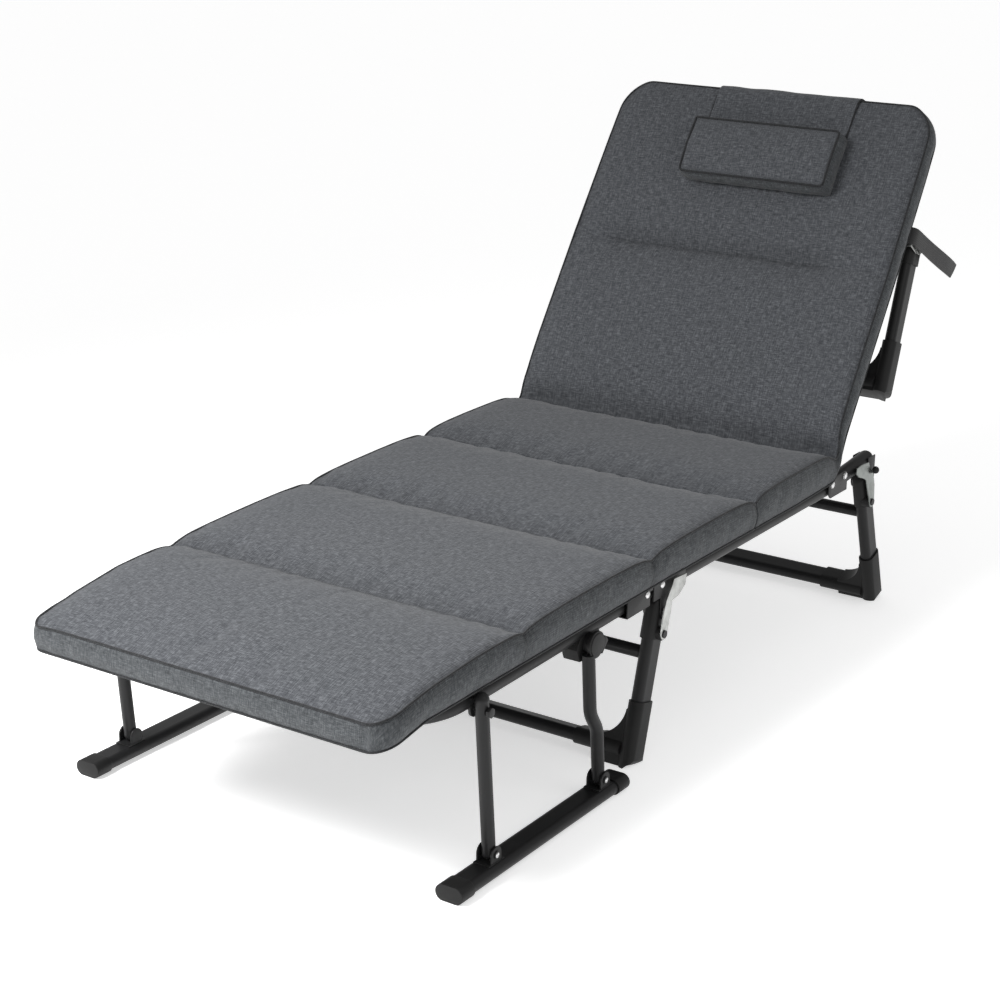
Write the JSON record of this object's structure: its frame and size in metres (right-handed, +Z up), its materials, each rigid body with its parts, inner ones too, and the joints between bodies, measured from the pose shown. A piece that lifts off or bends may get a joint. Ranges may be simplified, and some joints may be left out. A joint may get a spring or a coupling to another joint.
{
  "type": "folding chaise lounge",
  "caption": "Folding chaise lounge with a quilted mattress, reclining back with pillow, folding U-shaped tube legs and a folding skid foot on each side.",
  "frame": {"origin": "centre of the footprint, on the floor", "axes": "+Z up, +Y towards the head end, +X towards the sitter's left"},
  "size_m": [0.69, 1.6563, 0.8658],
  "materials": {
    "frame_paint": "powder coat, semi-gloss",
    "plastic": "moulded, satin",
    "zinc": "zinc plated",
    "upholstery": "heathered linen weave",
    "webbing": "woven polyester"
  },
  "bodies": {
    "seat": {"seat_rails": "frame_paint", "rail_tails": "frame_paint", "knee_channels": "frame_paint", "hip_plates": "frame_paint", "leg_brackets": "frame_paint", "hinge_pins": "zinc", "seat_sling": "webbing", "seat_pad": "upholstery", "mattress_knee": "upholstery", "mattress_crease": "upholstery"},
    "foot": {"foot_rails": "frame_paint", "foot_corners": "frame_paint", "foot_end_bar": "frame_paint", "foot_channels": "frame_paint", "clutch_housings": "plastic", "strut_lugs": "frame_paint", "foot_sling": "webbing", "foot_pad": "upholstery"},
    "back": {"back_rails": "frame_paint", "back_corners": "frame_paint", "back_top_bar": "frame_paint", "back_cross_tube": "frame_paint", "hip_gears": "frame_paint", "head_leg_brackets": "zinc", "back_sling": "webbing", "back_pad": "upholstery", "carry_strap": "webbing", "pillow_flap_rear": "upholstery"},
    "mid_leg": {"mid_leg_posts": "frame_paint", "mid_leg_floor_bar": "frame_paint", "mid_leg_crossbar": "frame_paint", "mid_leg_shoes": "plastic", "mid_leg_sleeves": "plastic"},
    "mid_locks": {"mid_lock_plates": "zinc"},
    "back_leg": {"back_leg_posts": "frame_paint", "back_leg_floor_bar": "frame_paint", "back_leg_crossbar": "frame_paint", "back_leg_shoes": "plastic", "back_leg_sleeves": "plastic"},
    "back_locks": {"back_lock_plates": "zinc"},
    "head_leg": {"head_leg_posts": "frame_paint", "head_leg_floor_bar": "frame_paint", "head_leg_shoes": "plastic", "head_leg_sleeves": "plastic"},
    "pillow": {"pillow": "upholstery", "pillow_flap": "upholstery"},
    "front_strut_left": {"front_strut_left": "frame_paint"},
    "rear_strut_left": {"rear_strut_left": "frame_paint", "clutch_disc_left": "plastic"},
    "skid_left": {"skid_left": "frame_paint", "skid_caps_left": "plastic", "skid_clevises_left": "zinc"},
    "front_strut_right": {"front_strut_right": "frame_paint"},
    "rear_strut_right": {"rear_strut_right": "frame_paint", "clutch_disc_right": "plastic"},
    "skid_right": {"skid_right": "frame_paint", "skid_caps_right": "plastic", "skid_clevises_right": "zinc"}
  },
  "joints": [
    {"name": "back_recline", "type": "hinge", "parent": "seat", "child": "back", "pos_m": [0, 0.4332, 0.281], "axis": [1, 0, 0], "range_deg": [-55.8, 39.2], "deforming": ["mattress_crease"]},
    {"name": "foot_fold", "type": "hinge", "parent": "seat", "child": "foot", "pos_m": [0, -0.1848, 0.288], "axis": [-1, 0, 0], "range_deg": [0, 130], "deforming": ["mattress_knee"]},
    {"name": "mid_leg_fold", "type": "hinge", "parent": "seat", "child": "mid_leg", "pos_m": [0, -0.1408, 0.228], "axis": [1, 0, 0], "range_deg": [0, 100]},
    {"name": "mid_lock_swing", "type": "hinge", "parent": "mid_leg", "child": "mid_locks", "pos_m": [0, -0.15431, 0.19603], "axis": [-1, 0, 0], "range_deg": [0, 12]},
    {"name": "back_leg_fold", "type": "hinge", "parent": "seat", "child": "back_leg", "pos_m": [0, 0.5712, 0.242], "axis": [-1, 0, 0], "range_deg": [0, 98]},
    {"name": "back_lock_swing", "type": "hinge", "parent": "back_leg", "child": "back_locks", "pos_m": [0, 0.56916, 0.20659], "axis": [-1, 0, 0], "range_deg": [0, 12]},
    {"name": "head_leg_fold", "type": "hinge", "parent": "back", "child": "head_leg", "pos_m": [0, 0.70814, 0.63219], "axis": [1, 0, 0], "range_deg": [-11, 99]},
    {"name": "pillow_lift", "type": "hinge", "parent": "back", "child": "pillow", "pos_m": [0, 0.76881, 0.86433], "axis": [-1, 0, 0], "range_deg": [0, 100]},
    {"name": "skid_fold_left", "type": "hinge", "parent": "foot", "child": "front_strut_left", "pos_m": [0.323, -0.6298, 0.246], "axis": [-1, 0, 0], "range_deg": [0, 85]},
    {"name": "rear_strut_swing_left", "type": "hinge", "parent": "foot", "child": "rear_strut_left", "pos_m": [0.323, -0.3528, 0.246], "axis": [-1, 0, 0], "range_deg": [0, 85]},
    {"name": "skid_level_left", "type": "hinge", "parent": "front_strut_left", "child": "skid_left", "pos_m": [0.323, -0.6108, 0.034], "axis": [1, 0, 0], "range_deg": [0, 85]},
    {"name": "skid_fold_right", "type": "hinge", "parent": "foot", "child": "front_strut_right", "pos_m": [-0.323, -0.6298, 0.246], "axis": [-1, 0, 0], "range_deg": [0, 85]},
    {"name": "rear_strut_swing_right", "type": "hinge", "parent": "foot", "child": "rear_strut_right", "pos_m": [-0.323, -0.3528, 0.246], "axis": [-1, 0, 0], "range_deg": [0, 85]},
    {"name": "skid_level_right", "type": "hinge", "parent": "front_strut_right", "child": "skid_right", "pos_m": [-0.323, -0.6108, 0.034], "axis": [1, 0, 0], "range_deg": [0, 85]}
  ],
  "couplings": [
    {"joint": "rear_strut_swing_left", "follows": "skid_fold_left", "ratio": 1},
    {"joint": "skid_level_left", "follows": "skid_fold_left", "ratio": 1},
    {"joint": "rear_strut_swing_right", "follows": "skid_fold_right", "ratio": 1},
    {"joint": "skid_level_right", "follows": "skid_fold_right", "ratio": 1}
  ]
}
